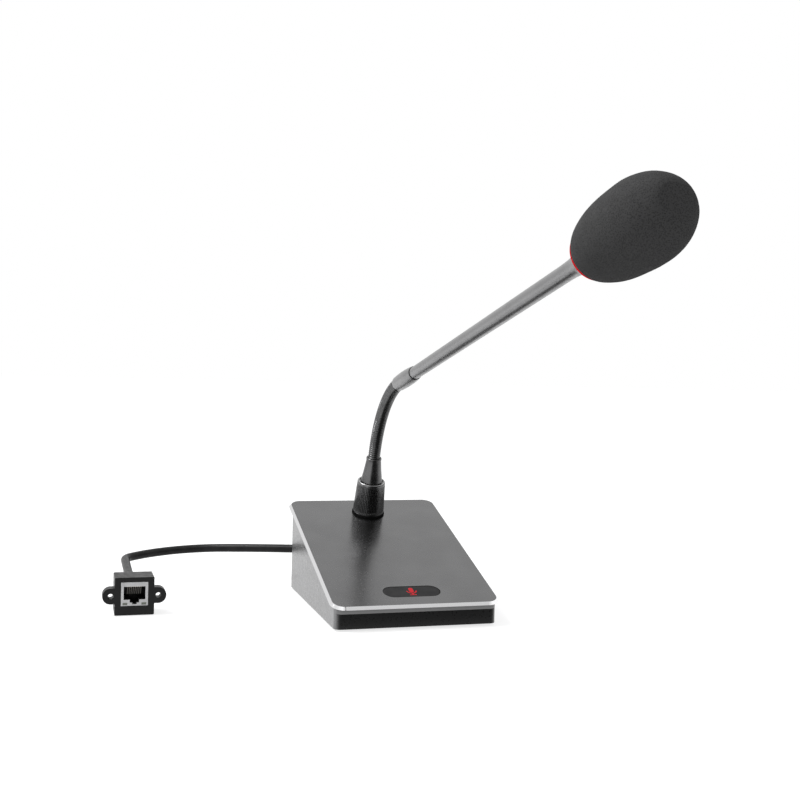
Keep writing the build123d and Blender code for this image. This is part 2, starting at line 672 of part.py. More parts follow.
GRILLE_OUTER = [(HEAD_RADIUS, HEAD_END), (5.6, HEAD_END + 2.0), (0, HEAD_END + 3.2)]
GRILLE_INNER = [(0, HEAD_END + 2.4), (5.0, HEAD_END + 1.3), (7.2, HEAD_END)]
with BuildPart() as capsule_grille:
    with BuildSketch(stem_section):
        with BuildLine():
            Line(GRILLE_OUTER[-1], GRILLE_INNER[0])
            Spline(*GRILLE_INNER, tangents=[(1, 0), (1, -1)])
            Line(GRILLE_INNER[-1], GRILLE_OUTER[0])
            Spline(*GRILLE_OUTER, tangents=[(-1, 1), (-1, 0)])
        make_face()
    revolve(axis=stem_line)
finish(capsule_grille.part, "capsule_grille")

with BuildPart() as signal_wire:
    add(tube(stem_plane, 1.1, 0, 3.0, CAPSULE_START))
finish(signal_wire.part, "signal_wire")


def foam_radius(along):
    """Radius of the foam: a long rear half-egg and a short front one."""
    if along < FOAM_WIDEST:
        share = (FOAM_WIDEST - along) / FOAM_REAR
        return FOAM_RADIUS * (1 - share**FOAM_REAR_POWER) ** (1 / FOAM_REAR_POWER)
    share = (along - FOAM_WIDEST) / FOAM_FRONT
    return FOAM_RADIUS * math.sqrt(1 - share**2)


FOAM_START = RING_END + 0.1
foam_span = FOAM_FACET - FOAM_START
foam_points = [
    (foam_radius(FOAM_START + foam_span * share), FOAM_START + foam_span * share)
    for share in (0, 0.12, 0.27, 0.42, 0.6, 0.74, 0.85, 0.94, 1)
]
with BuildPart() as windscreen:
    with BuildSketch(stem_section):
        with BuildLine():
            Line((HEAD_RADIUS + RUNNING, FOAM_START), foam_points[0])
            Spline(*foam_points)
            Line(foam_points[-1], (0, FOAM_FACET))
            Line((0, FOAM_FACET), (0, HEAD_END + 4.4))
            Line((0, HEAD_END + 4.4), (HEAD_RADIUS + RUNNING, HEAD_END + 2.2))
            Line((HEAD_RADIUS + RUNNING, HEAD_END + 2.2), (HEAD_RADIUS + RUNNING, FOAM_START))
        make_face()
    revolve(axis=stem_line)
finish(windscreen.part, "windscreen")

# ---------------------------------------------------------------- cable
GLAND_LENGTH = 1.6
with BuildPart() as cable_gland:
    rear_wall = Plane(origin=(CABLE_EXIT_X, body_back, CABLE_EXIT_Z), x_dir=(1, 0, 0), z_dir=(0, 1, 0))
    add(tube(rear_wall, GLAND_RADIUS + 1.6, CABLE_RADIUS + 0.1, 0, GLAND_LENGTH))
    add(tube(rear_wall, GLAND_RADIUS, CABLE_RADIUS + 0.05, -BODY_WALL, 0))
    add(tube(rear_wall, GLAND_RADIUS + 1.2, CABLE_RADIUS + 0.05, -BODY_WALL - 2, -BODY_WALL))
finish(cable_gland.part, "cable_gland")

# The cable's plan: straight out of the back, a turn to the left, a long straight, a wide
# turn and a tight one, then straight forward to the jack. Headings are from +X.
FIRST_STRAIGHT = 2.9
FIRST_TURN = 9.6
LONG_HEADING = 151.8
LONG_STRAIGHT = 75.6
WIDE_TURN = 55.3
WIDE_HEADING = 217.7
jack_back_y = JACK_FRONT_Y + JACK_DEPTH


def turn(radius, start_heading, end_heading):
    """Shift in X and Y of a left-hand arc between two headings in degrees."""
    a, b = math.radians(start_heading), math.radians(end_heading)
    return radius * (math.sin(b) - math.sin(a)), radius * (math.cos(a) - math.cos(b))


first_shift = turn(FIRST_TURN, 90, LONG_HEADING)[0]
wide_shift = turn(WIDE_TURN, LONG_HEADING, WIDE_HEADING)[0]
long_shift = LONG_STRAIGHT * math.cos(math.radians(LONG_HEADING))
tight_shift = JACK_X - CABLE_EXIT_X - first_shift - long_shift - wide_shift
TIGHT_TURN = tight_shift / turn(1, WIDE_HEADING, 270)[0]

legs = [
    ("line", FIRST_STRAIGHT, 90, 90),
    ("arc", FIRST_TURN, 90, LONG_HEADING),
    ("line", LONG_STRAIGHT, LONG_HEADING, LONG_HEADING),
    ("arc", WIDE_TURN, LONG_HEADING, WIDE_HEADING),
    ("arc", TIGHT_TURN, WIDE_HEADING, 270),
]


def leg_length(kind, size, start_heading, end_heading):
    if kind == "line":
        return size
    return size * math.radians(end_heading - start_heading)


def leg_shift(kind, size, start_heading, end_heading):
    if kind == "line":
        heading = math.radians(start_heading)
        return size * math.cos(heading), size * math.sin(heading)
    return turn(size, start_heading, end_heading)


turns_end_y = body_back + sum(leg_shift(*leg)[1] for leg in legs)
last_straight = turns_end_y - jack_back_y
legs.append(("line", last_straight, 270, 270))
cable_length = sum(leg_length(*leg) for leg in legs)


def cable_point(along):
    """A point on the cable's centre line; it sinks smoothly from the base to the jack."""
    x, y, left = CABLE_EXIT_X, body_back, along
    for kind, size, start_heading, end_heading in legs:
        length = leg_length(kind, size, start_heading, end_heading)
        share = min(left / length, 1)
        if kind == "line":
            part_leg = leg_shift(kind, size * share, start_heading, end_heading)
        else:
            heading = start_heading + (end_heading - start_heading) * share
            part_leg = turn(size, start_heading, heading)
        x, y, left = x + part_leg[0], y + part_leg[1], left - length
        if left <= 0:
            break
    whole = max(0, min(along / cable_length, 1))
    sink = whole * whole * (3 - 2 * whole)
    return Vector(x, y, CABLE_EXIT_Z + (CABLE_END_Z - CABLE_EXIT_Z) * sink)


CABLE_JOINTS = (20.0, 92.0, cable_length - 62.0)
CABLE_CUP_LIP = 0.7
CABLE_SHOULDER = 1.6
BOOT_LENGTH = 9.0
CABLE_STEP = 12.0               # spacing of the points that shape the sheath
CABLE_INSIDE = 12.0             # length of cable inside the base


def cable_heading(along):
    return (cable_point(along + 0.01) - cable_point(along - 0.01)).normalized()


def cable_rod(start, end):
    """The cable's round sheath between two places along its centre line."""
    count = max(2, math.ceil((end - start) / CABLE_STEP))
    points = [cable_point(start + (end - start) * i / count) for i in range(count + 1)]
    with BuildPart(mode=Mode.PRIVATE) as rod:
        with BuildLine() as way:
            Spline(*points, tangents=[cable_heading(start), cable_heading(end)])
        with BuildSketch(Plane(origin=way.line @ 0, z_dir=way.line % 0)):
            Circle(CABLE_RADIUS)
        sweep()
    return rod.part


def cable_piece(name, start, end, cup, tip):
    """A stretch of cable, with a cup over the joint behind it and a ball at the next one."""
    rod_start = start - CABLE_CUP_LIP if cup else start
    rod_end = end - CABLE_SHOULDER if tip else end
    with BuildPart() as piece:
        add(cable_rod(rod_start, rod_end))
        if tip:
            neck_line = Plane(origin=cable_point(end), z_dir=cable_heading(end))
            add(tube(neck_line, 1.2, 0, -CABLE_SHOULDER - 0.3, 0))
            add(ball(cable_point(end), cable_heading(end), CABLE_BALL))
        if cup:
            add(ball(cable_point(start), cable_heading(start), CABLE_BALL + RUNNING), mode=Mode.SUBTRACT)
    return finish(piece.part, name)


cable_piece("cable_lead", -CABLE_INSIDE, CABLE_JOINTS[0], False, True)
cable_piece("cable_middle", CABLE_JOINTS[0], CABLE_JOINTS[1], True, True)
cable_piece("cable_bend", CABLE_JOINTS[1], CABLE_JOINTS[2], True, True)
cable_piece("cable_tail", CABLE_JOINTS[2], cable_length - BOOT_LENGTH - 0.2, True, False)

# ---------------------------------------------------------------- panel jack
SHIELD_WIDTH = 14.6
SHIELD_HEIGHT = 13.0
SHIELD_Z = JACK_HEIGHT / 2 + 1.3
SHIELD_DEPTH = 13.5
SHIELD_SHEET = 0.5
PORT_WIDTH = 11.7
PORT_HEIGHT = 7.2
PORT_TOP = SHIELD_Z + 4.1
PORT_DEPTH = 12.5
KEY_STEPS = ((5.0, 1.6), (2.4, 2.5))    # width and depth of the notches for the plug's latch
LIGHT_WIDTH = 2.6
LIGHT_HEIGHT = 1.3
BOOT_RADIUS = 4.2
jack_front = Plane(origin=(JACK_X, JACK_FRONT_Y, 0), x_dir=(1, 0, 0), z_dir=(0, -1, 0))
light_places = [(x, SHIELD_Z - 5.4) for x in (-5.1, 5.1)]


def port_outline():
    """The front outline of the port, with its stepped notch for the plug's latch."""
    with BuildSketch(Plane.XY, mode=Mode.PRIVATE) as outline:
        with Locations((0, PORT_TOP - PORT_HEIGHT / 2)):
            Rectangle(PORT_WIDTH, PORT_HEIGHT)
        for width, depth in KEY_STEPS:
            with Locations((0, PORT_TOP - (PORT_HEIGHT + depth) / 2)):
                Rectangle(width, PORT_HEIGHT + depth)
    return outline.sketch


with BuildPart() as jack_housing:
    with BuildSketch(jack_front):
        with Locations((0, JACK_HEIGHT / 2)):
            RectangleRounded(JACK_WIDTH, JACK_HEIGHT, 0.6)
    extrude(amount=-JACK_DEPTH)
    with BuildSketch(jack_front):
        with Locations((0, EAR_HEIGHT)):
            SlotOverall(EAR_PITCH + 2 * EAR_RADIUS, 2 * EAR_RADIUS)
    extrude(amount=-EAR_THICKNESS)
    with BuildSketch(jack_front):
        with Locations((0, SHIELD_Z)):
            Rectangle(SHIELD_WIDTH + 0.1, SHIELD_HEIGHT + 0.1)
    extrude(amount=-SHIELD_DEPTH - 0.1, mode=Mode.SUBTRACT)
    with BuildSketch(jack_front):
        with Locations((-EAR_PITCH / 2, EAR_HEIGHT), (EAR_PITCH / 2, EAR_HEIGHT)):
            Circle(EAR_HOLE)
    extrude(amount=-EAR_THICKNESS, mode=Mode.SUBTRACT)
    with BuildSketch(jack_front.offset(-JACK_DEPTH)):
        with Locations((0, CABLE_END_Z)):
            Circle(CABLE_RADIUS + 0.1)
    extrude(amount=JACK_DEPTH - SHIELD_DEPTH, mode=Mode.SUBTRACT)
finish(jack_housing.part, "jack_housing")

with BuildPart() as jack_shield:
    with BuildSketch(jack_front):
        with Locations((0, SHIELD_Z)):
            Rectangle(SHIELD_WIDTH, SHIELD_HEIGHT)
    extrude(amount=-SHIELD_DEPTH)
    with BuildSketch(jack_front.offset(-SHIELD_SHEET)):
        with Locations((0, SHIELD_Z)):
            Rectangle(SHIELD_WIDTH - 0.8, SHIELD_HEIGHT - 0.8)
    extrude(amount=-SHIELD_DEPTH, mode=Mode.SUBTRACT)
    with BuildSketch(jack_front):
        add(port_outline())
        with Locations(*light_places):
            Rectangle(LIGHT_WIDTH, LIGHT_HEIGHT)
    extrude(amount=-SHIELD_SHEET, mode=Mode.SUBTRACT)
finish(jack_shield.part, "jack_shield")

with BuildPart() as jack_insert:
    with BuildSketch(jack_front.offset(-SHIELD_SHEET - 0.05)):
        with Locations((0, SHIELD_Z)):
            Rectangle(SHIELD_WIDTH - 0.9, SHIELD_HEIGHT - 0.9)
    extrude(amount=-SHIELD_DEPTH + 0.7)
    with BuildSketch(jack_front):
        add(port_outline())
    extrude(amount=-PORT_DEPTH, mode=Mode.SUBTRACT)
    with BuildSketch(jack_front):
        with Locations(*light_places):
            Rectangle(LIGHT_WIDTH + 0.1, LIGHT_HEIGHT + 0.1)
    extrude(amount=-3.0, mode=Mode.SUBTRACT)
finish(jack_insert.part, "jack_insert")

with BuildPart() as jack_lights:
    with BuildSketch(jack_front.offset(-0.1)):
        with Locations(*light_places):
            Rectangle(LIGHT_WIDTH - 0.1, LIGHT_HEIGHT - 0.1)
    extrude(amount=-2.8)
finish(jack_lights.part, "jack_lights")

CONTACT_COUNT = 8
CONTACT_PITCH = 1.02
CONTACT_THICKNESS = 0.4
with BuildPart() as jack_contacts:
    for number in range(CONTACT_COUNT):
        across = (number - (CONTACT_COUNT - 1) / 2) * CONTACT_PITCH
        side = Plane(
            origin=(JACK_X + across - CONTACT_THICKNESS / 2, JACK_FRONT_Y, PORT_TOP),
            x_dir=(0, 1, 0),
            z_dir=(1, 0, 0),
        )
        with BuildSketch(side):
            Polygon((1.2, 0), (1.2, -0.4), (8.9, -3.6), (9.2, -3.2), (2.0, 0), align=None)
        extrude(amount=CONTACT_THICKNESS)
finish(jack_contacts.part, "jack_contacts")

with BuildPart() as cable_boot:
    boot_plane = Plane(origin=(JACK_X, jack_back_y, CABLE_END_Z), x_dir=(1, 0, 0), z_dir=(0, 1, 0))
    boot_section = Plane(origin=boot_plane.origin, x_dir=(1, 0, 0), z_dir=(0, 0, 1))
    with BuildSketch(boot_section):
        Polygon(
            (0, 0),
            (BOOT_RADIUS, 0),
            (BOOT_RADIUS - 0.6, BOOT_LENGTH * 0.7),
            (CABLE_RADIUS + 0.2, BOOT_LENGTH),
            (0, BOOT_LENGTH),
            align=None,
        )
    revolve(axis=Axis(boot_plane.origin, (0, 1, 0)))
    add(tube(boot_plane, CABLE_RADIUS, 0, -(JACK_DEPTH - SHIELD_DEPTH) + 0.2, 0))
finish(cable_boot.part, "cable_boot")
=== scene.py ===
import json
import math

import bmesh
import bpy
from mathutils import Matrix, Vector, noise


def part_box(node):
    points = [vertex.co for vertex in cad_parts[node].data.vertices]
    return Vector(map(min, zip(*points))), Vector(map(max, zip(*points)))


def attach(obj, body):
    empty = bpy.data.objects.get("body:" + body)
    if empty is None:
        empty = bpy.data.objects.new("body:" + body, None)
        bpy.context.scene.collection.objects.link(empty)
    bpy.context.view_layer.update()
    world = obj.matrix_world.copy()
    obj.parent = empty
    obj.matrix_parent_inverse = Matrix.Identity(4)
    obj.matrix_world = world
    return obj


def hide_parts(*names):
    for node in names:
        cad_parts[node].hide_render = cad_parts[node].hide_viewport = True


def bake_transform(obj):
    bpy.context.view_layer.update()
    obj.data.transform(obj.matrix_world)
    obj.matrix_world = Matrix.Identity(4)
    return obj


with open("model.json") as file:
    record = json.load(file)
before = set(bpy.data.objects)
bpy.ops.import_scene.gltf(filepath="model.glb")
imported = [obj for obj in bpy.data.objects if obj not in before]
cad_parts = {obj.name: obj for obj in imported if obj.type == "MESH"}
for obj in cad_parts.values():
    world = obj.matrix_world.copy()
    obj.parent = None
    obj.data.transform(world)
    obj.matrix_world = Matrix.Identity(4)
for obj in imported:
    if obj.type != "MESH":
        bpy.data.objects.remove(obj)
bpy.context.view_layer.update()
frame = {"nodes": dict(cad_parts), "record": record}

# ---------------------------------------------------------------- shared dimensions (mm)
MM = 0.001
SLOPE = math.radians(17.85)
TILT = math.radians(78.0)
PLATE_LENGTH = 136.0
PLATE_THICKNESS = 1.5
FRONT_EDGE_HEIGHT = 11.5
NECK_UP_SLOPE = 116.5
NECK_BEND_RADIUS = 70.4
NECK_RADIUS = 3.75
CONE_TOP = 37.4
JOINT_FIRST = 3.0
JOINT_PITCH = 7.5
JOINT_COUNT = 9
ROUND = 96              # points round a turned piece

UP = Vector((0, -math.sin(SLOPE), math.cos(SLOPE)))
ALONG = Vector((0, math.cos(SLOPE), math.sin(SLOPE)))
ACROSS = Vector((1, 0, 0))
plate_front = Vector((0, -PLATE_LENGTH * math.cos(SLOPE) / 2, FRONT_EDGE_HEIGHT))
neck_base = plate_front + ALONG * NECK_UP_SLOPE + UP * PLATE_THICKNESS
neck_start = neck_base + UP * CONE_TOP
bend_centre = neck_start - ALONG * NECK_BEND_RADIUS
neck_arc = NECK_BEND_RADIUS * (TILT - SLOPE)
stem_axis = Vector((0, -math.sin(TILT), math.cos(TILT)))


def neck_frame(along):
    """Centre and tangent of the neck's centre line, in mm."""
    angle = SLOPE + along / NECK_BEND_RADIUS
    centre = bend_centre + Vector((0, math.cos(angle), math.sin(angle))) * NECK_BEND_RADIUS
    return centre, Vector((0, -math.sin(angle), math.cos(angle)))


stem_origin = neck_frame(neck_arc)[0]


# ---------------------------------------------------------------- mesh helpers
def make_mesh(name, verts, faces, sharp=35):
    """A smooth-shaded object with sharp edges kept, from points in mm."""
    mesh = bpy.data.meshes.new(name)
    mesh.from_pydata([v * MM for v in verts], [], faces)
    shape = bmesh.new()
    shape.from_mesh(mesh)
    bmesh.ops.recalc_face_normals(shape, faces=shape.faces)
    shape.to_mesh(mesh)
    shape.free()
    for face in mesh.polygons:
        face.use_smooth = True
    mesh.set_sharp_from_angle(angle=math.radians(sharp))
    made = bpy.data.objects.new(name, mesh)
    bpy.context.scene.collection.objects.link(made)
    return made


def loft(name, rings, looped=False, sharp=35):
    """A closed skin through equal rings of points: capped at both ends, or joined end to start."""
    around = len(rings[0])
    verts = [p for ring in rings for p in ring]
    faces = []
    spans = len(rings) if looped else len(rings) - 1
    for i in range(spans):
        j = (i + 1) % len(rings)
        for k in range(around):
            m = (k + 1) % around
            faces.append((i * around + k, i * around + m, j * around + m, j * around + k))
    if not looped:
        for first in (0, (len(rings) - 1) * around):
            ring = verts[first:first + around]
            verts.append(sum(ring, Vector()) / around)
            centre = len(verts) - 1
            for k in range(around):
                faces.append((first + k, first + (k + 1) % around, centre))
    return make_mesh(name, verts, faces, sharp)


def ring_at(centre, tangent, side, radius, around):
    """A ring of points; radius is a number or a function of the angle."""
    other = tangent.cross(side).normalized()
    points = []
    for k in range(around):
        angle = 2 * math.pi * k / around
        size = radius(angle) if callable(radius) else radius
        points.append(centre + (side * math.cos(angle) + other * math.sin(angle)) * size)
    return points


def lathe(name, origin, axis, profile, around, looped=True, shape=None, sharp=35):
    """Turns a profile of (radius, along) round an axis; shape may change each radius."""
    rings = []
    for step, (radius, along) in enumerate(profile):
        centre = origin + axis * along
        if shape:
            size = lambda angle, r=radius, a=along, s=step: shape(r, a, s, angle)
        else:
            size = radius
        rings.append(ring_at(centre, axis, ACROSS, size, around))
    return loft(name, rings, looped, sharp)


def resample(points, step):
    """Places along a polyline at a nearly equal spacing."""
    lengths = [0.0]
    for a, b in zip(points, points[1:]):
        lengths.append(lengths[-1] + math.dist(a, b))
    count = max(2, round(lengths[-1] / step))
    placed, at = [], 0
    for i in range(count + 1):
        target = lengths[-1] * i / count
        while at < len(points) - 2 and lengths[at + 1] < target:
            at += 1
        share = (target - lengths[at]) / max(lengths[at + 1] - lengths[at], 1e-9)
        a, b = points[at], points[at + 1]
        placed.append(tuple(p + (q - p) * share for p, q in zip(a, b)))
    return placed


# ---------------------------------------------------------------- material helpers
class Recipe:
    """A procedural material: a Principled shader with named helpers round it."""

    def __init__(self, name, base, metallic=0.0, roughness=0.5, specular=0.5):
        self.material = bpy.data.materials.new(name)
        self.material.use_nodes = True
        self.tree = self.material.node_tree
        self.tree.nodes.clear()
        self.shader = self.node("ShaderNodeBsdfPrincipled")
        out = self.node("ShaderNodeOutputMaterial")
        self.tree.links.new(self.shader.outputs[0], out.inputs[0])
        self.put("Base Color", base)
        self.put("Metallic", metallic)
        self.put("Roughness", roughness)
        self.put("Specular IOR Level", specular)
        self.material.diffuse_color = (*base, 1)

    def node(self, kind, **settings):
        made = self.tree.nodes.new(kind)
        for key, value in settings.items():
            setattr(made, key, value)
        return made

    def feed(self, socket, value):
        if isinstance(value, bpy.types.NodeSocket):
            self.tree.links.new(value, socket)
        elif isinstance(value, tuple) and len(value) == 3 and socket.type == "RGBA":
            socket.default_value = (*value, 1)
        else:
            socket.default_value = value

    def put(self, name, value):
        self.feed(self.shader.inputs[name], value)
        return self

    def place(self, stretch=(1, 1, 1)):
        """Object coordinates, in metres, that may be stretched along an axis."""
        spot = self.node("ShaderNodeTexCoord").outputs["Object"]
        if stretch == (1, 1, 1):
            return spot
        mapping = self.node("ShaderNodeMapping")
        mapping.inputs["Scale"].default_value = stretch
        self.tree.links.new(spot, mapping.inputs["Vector"])
        return mapping.outputs[0]

    def noise(self, size_mm, detail=3.0, stretch=(1, 1, 1)):
        cloud = self.node("ShaderNodeTexNoise")
        cloud.inputs["Scale"].default_value = 1000.0 / size_mm
        cloud.inputs["Detail"].default_value = detail
        self.tree.links.new(self.place(stretch), cloud.inputs["Vector"])
        return cloud.outputs["Fac"]

    def cells(self, size_mm, feature="F1"):
        grid = self.node("ShaderNodeTexVoronoi", feature=feature)
        grid.inputs["Scale"].default_value = 1000.0 / size_mm
        self.tree.links.new(self.place(), grid.inputs["Vector"])
        return grid.outputs["Distance"]

    def ramp(self, value, low, high, to_low=0.0, to_high=1.0):
        """A smooth step of a value from one range to another."""
        made = self.node("ShaderNodeMapRange", interpolation_type="SMOOTHSTEP")
        for socket, number in zip(made.inputs[:5], (value, low, high, to_low, to_high)):
            self.feed(socket, number)
        return made.outputs[0]

    def maths(self, operation, a, b):
        made = self.node("ShaderNodeMath", operation=operation)
        self.feed(made.inputs[0], a)
        self.feed(made.inputs[1], b)
        return made.outputs[0]

    def mix(self, share, a, b):
        """Colour a at share 0, colour b at share 1."""
        made = self.node("ShaderNodeMix", data_type="RGBA")
        self.feed(made.inputs[0], share)
        self.feed(made.inputs[6], a)
        self.feed(made.inputs[7], b)
        return made.outputs[2]

    def facing(self, direction):
        """How much the surface faces a direction of the row frame, from -1 to 1."""
        product = self.node("ShaderNodeVectorMath", operation="DOT_PRODUCT")
        self.tree.links.new(self.node("ShaderNodeNewGeometry").outputs["Normal"], product.inputs[0])
        product.inputs[1].default_value = direction
        return product.outputs["Value"]

    def distance(self, origin, axis):
        """Distance in mm along an axis from an origin in mm."""
        product = self.node("ShaderNodeVectorMath", operation="DOT_PRODUCT")
        self.tree.links.new(self.place(), product.inputs[0])
        product.inputs[1].default_value = Vector(axis) * 1000.0
        return self.maths("SUBTRACT", product.outputs["Value"], Vector(origin).dot(Vector(axis)))

    def bump(self, height, depth_mm, strength=1.0, rounded_mm=0.0):
        """Bumps of a depth, over edges that may look rounded by a radius."""
        made = self.node("ShaderNodeBump")
        made.inputs["Strength"].default_value = strength
        made.inputs["Distance"].default_value = depth_mm * MM
        self.feed(made.inputs["Height"], height)
        if rounded_mm > 0:
            edge = self.node("ShaderNodeBevel", samples=4)
            edge.inputs["Radius"].default_value = rounded_mm * MM
            self.tree.links.new(edge.outputs[0], made.inputs["Normal"])
        return self.put("Normal", made.outputs[0])

    def drift(self, size_mm, low=0.0, high=1.0):
        """A slow wandering between two values over the surface."""
        return self.ramp(self.noise(size_mm), 0.3, 0.7, low, high)

    def tone(self, size_mm, dark, light):
        """A colour that wanders between two tones."""
        return self.mix(self.drift(size_mm), dark, light)

    def speckle(self, amount, size_mm, value):
        """A value that wanders by a share of itself, both ways."""
        return self.drift(size_mm, value * (1 - amount), value * (1 + amount))


def grey(value):
    return (value, value, value * 1.01)


def plain(name, base, metallic, roughness, grain_mm=0.3, depth_mm=0.01, specular=0.5, rounded_mm=0.0):
    """A finish with colour drift, uneven roughness and fine grain."""
    made = Recipe(name, base, metallic, roughness, specular)
    darker = tuple(c * 0.88 for c in base)
    lighter = tuple(min(1, c * 1.12) for c in base)
    made.put("Base Color", made.tone(9.0, darker, lighter))
    made.put("Roughness", made.speckle(0.15, 2.5, roughness))
    made.bump(made.noise(grain_mm, 2.0), depth_mm, 1.0, rounded_mm)
    return made


# ---------------------------------------------------------------- materials
SILVER = 0.205
FRONT = (0.0, -1.0, 0.0)
LEFT = (-1.0, 0.0, 0.0)
# mm along the stem where the painted shadow band at the ferrule's end fades in and out
SHADOW_GAP_PLACES = (29.3, 29.5, 30.1, 30.3)
COLLAR_START = 1.25
COLLAR_END = 21.8

# brushed silver sides and a black front; the blend between them follows facing, a painted reflection
# over the rounded corners
body = Recipe("body_metal", grey(SILVER), 1.0, 0.32)
# black front paint, blended to silver over the rounded corners as a painted reflection
front_black_and_reflection_share = body.ramp(body.facing(FRONT), 0.5, 0.99)
body_tone = body.tone(14.0, grey(SILVER * 0.96), grey(SILVER * 1.04))
body.put("Base Color", body.mix(front_black_and_reflection_share, body_tone, grey(0.010)))
body.put("Metallic", body.ramp(front_black_and_reflection_share, 0, 1, 1.0, 0.0))
body.put("Roughness", body.speckle(0.12, 1.5, 0.3))
body.put("Specular IOR Level", body.ramp(front_black_and_reflection_share, 0, 1, 0.5, 0.3))
body.bump(body.noise(0.22, 2.0), 0.006)

# the strip under the plate: silver sides and a darker grey front, painted shade under the plate's
# overhang
strip = Recipe("frame_metal", grey(0.25), 0.7, 0.4)
# the front-facing part is painted darker grey: painted shade under the overhang
strip_front_shade_share = strip.ramp(strip.facing(FRONT), 0.5, 0.99)
strip_tone = strip.tone(9.0, grey(0.21), grey(0.235))
strip.put("Base Color", strip.mix(strip_front_shade_share, strip_tone, grey(0.17)))
strip.put("Metallic", strip.ramp(strip_front_shade_share, 0, 1, 1.0, 0.0))
strip.put("Roughness", strip.speckle(0.12, 1.5, 0.36))
strip.bump(strip.noise(0.22, 2.0), 0.006)

# grey anodised top with a bright cut bevel
plate = Recipe("plate_anodised", grey(0.16), 0.85, 0.3)
plate_up = plate.facing(tuple(UP))
on_top = plate.ramp(plate_up, 0.9, 0.96)
below = plate.ramp(plate_up, 0.0, 0.2)
top_tone = plate.tone(20.0, grey(0.15), grey(0.165))
# the bevel is painted darker towards the left: a painted reflection of a greyer surround
bevel_left_reflection = plate.ramp(plate.facing(LEFT), 0.2, 0.6)
bevel_tone = plate.mix(below, grey(0.1), plate.mix(bevel_left_reflection, grey(0.97), grey(0.7)))
plate.put("Base Color", plate.mix(on_top, bevel_tone, top_tone))
plate.put("Metallic", 1.0)
plate.put("Roughness", plate.ramp(on_top, 0, 1, 0.1, plate.speckle(0.1, 1.2, 0.25)))
plate.bump(plate.noise(0.18, 2.0), 0.0015)

# dull black talk button
button = Recipe("button_black", grey(0.03), 0.0, 0.4, 0.0)
button.put("Base Color", button.tone(6.0, grey(0.026), grey(0.032)))
button.put("Roughness", button.speckle(0.2, 1.0, 0.28))
button.bump(button.noise(0.15, 2.0), 0.003, 1.0, 0.15)

# the ring and the sign glow red
glow = Recipe("ring_red", (0.05, 0.001, 0.001), 0.0, 0.6, 0.0)
glow_tone = glow.tone(3.0, (0.44, 0.004, 0.008), (0.52, 0.006, 0.012))
glow.put("Emission Color", glow_tone).put("Emission Strength", 1.0)
glow.bump(glow.noise(0.4), 0.01)

sign = Recipe("glyph_red", (0.06, 0.003, 0.005), 0.0, 0.5, 0.1)
sign_tone = sign.tone(0.8, (0.4, 0.006, 0.01), (0.52, 0.008, 0.014))
sign.put("Emission Color", sign_tone).put("Emission Strength", 1.0)
sign.bump(sign.noise(0.2), 0.004)

# open-cell foam
foam = Recipe("foam_black", grey(0.03), 0.0, 0.95, 0.08)
pores = foam.cells(0.55)
# the cell centres, where the bump has its pits, are painted darker: painted shade in the pores
pore_shade_tone = foam.mix(foam.ramp(pores, 0.15, 0.6), grey(0.02), grey(0.034))
cloud = foam.drift(5.0, 0.9, 1.1)
foam.put("Base Color", pore_shade_tone)
foam.put("Roughness", foam.maths("MULTIPLY", cloud, 0.9))
foam.bump(foam.ramp(pores, 0.05, 0.5), 0.1, 0.5)

# grey metal with a painted shadow band where the ferrule ends, standing in for the shadow gap at the
# stem's lip
stem = Recipe("stem_grey", grey(0.22), 1.0, 0.32)
stem_along = stem.distance(stem_origin, stem_axis)
shadow_gap_start = stem.ramp(stem_along, *SHADOW_GAP_PLACES[:2])
shadow_gap_end = stem.ramp(stem_along, *SHADOW_GAP_PLACES[2:], 1.0, 0.0)
shadow_gap = stem.maths("MULTIPLY", shadow_gap_start, shadow_gap_end)
stem_tone = stem.tone(12.0, grey(0.2), grey(0.225))
stem.put("Base Color", stem.mix(shadow_gap, stem_tone, grey(0.02)))
stem.put("Roughness", stem.speckle(0.15, 1.5, 0.32))
stem.bump(stem.noise(0.25, 2.0, (1, 0.15, 0.15)), 0.003)

# black-plated wire of the neck
coil = Recipe("neck_black", grey(0.11), 1.0, 0.22)
coil.put("Base Color", coil.tone(4.0, grey(0.088), grey(0.11)))
coil.put("Roughness", coil.speckle(0.25, 0.8, 0.2))
coil.bump(coil.noise(0.12, 2.0), 0.004)

# soft black sheath
cable = Recipe("cable_pvc", grey(0.009), 0.0, 0.42, 0.12)
cable.put("Base Color", cable.tone(7.0, grey(0.007), grey(0.012)))
cable.put("Roughness", cable.speckle(0.2, 1.2, 0.36))
cable.bump(cable.noise(0.25, 2.0), 0.008)

# circuit board with lighter tracks
board = Recipe("board_green", (0.02, 0.12, 0.05), 0.0, 0.35)
tracks = board.ramp(board.cells(1.8, "DISTANCE_TO_EDGE"), 0.06, 0.1)
board.put("Base Color", board.mix(tracks, (0.05, 0.22, 0.09), (0.015, 0.1, 0.045)))
board.bump(tracks, 0.02)

# black collar with a lighter top rim: a painted highlight
collar_finish = Recipe("collar_black", grey(0.15), 1.0, 0.24)
collar_tone = collar_finish.tone(4.0, grey(0.125), grey(0.155))
collar_height = collar_finish.distance(neck_base, UP)
rim_highlight_share = collar_finish.ramp(collar_height, COLLAR_END - 0.12, COLLAR_END - 0.04)
collar_finish.put("Base Color", collar_finish.mix(rim_highlight_share, collar_tone, grey(0.4)))
collar_finish.put("Roughness", collar_finish.speckle(0.2, 0.8, 0.24))
collar_finish.bump(collar_finish.noise(0.15, 2.0), 0.003)

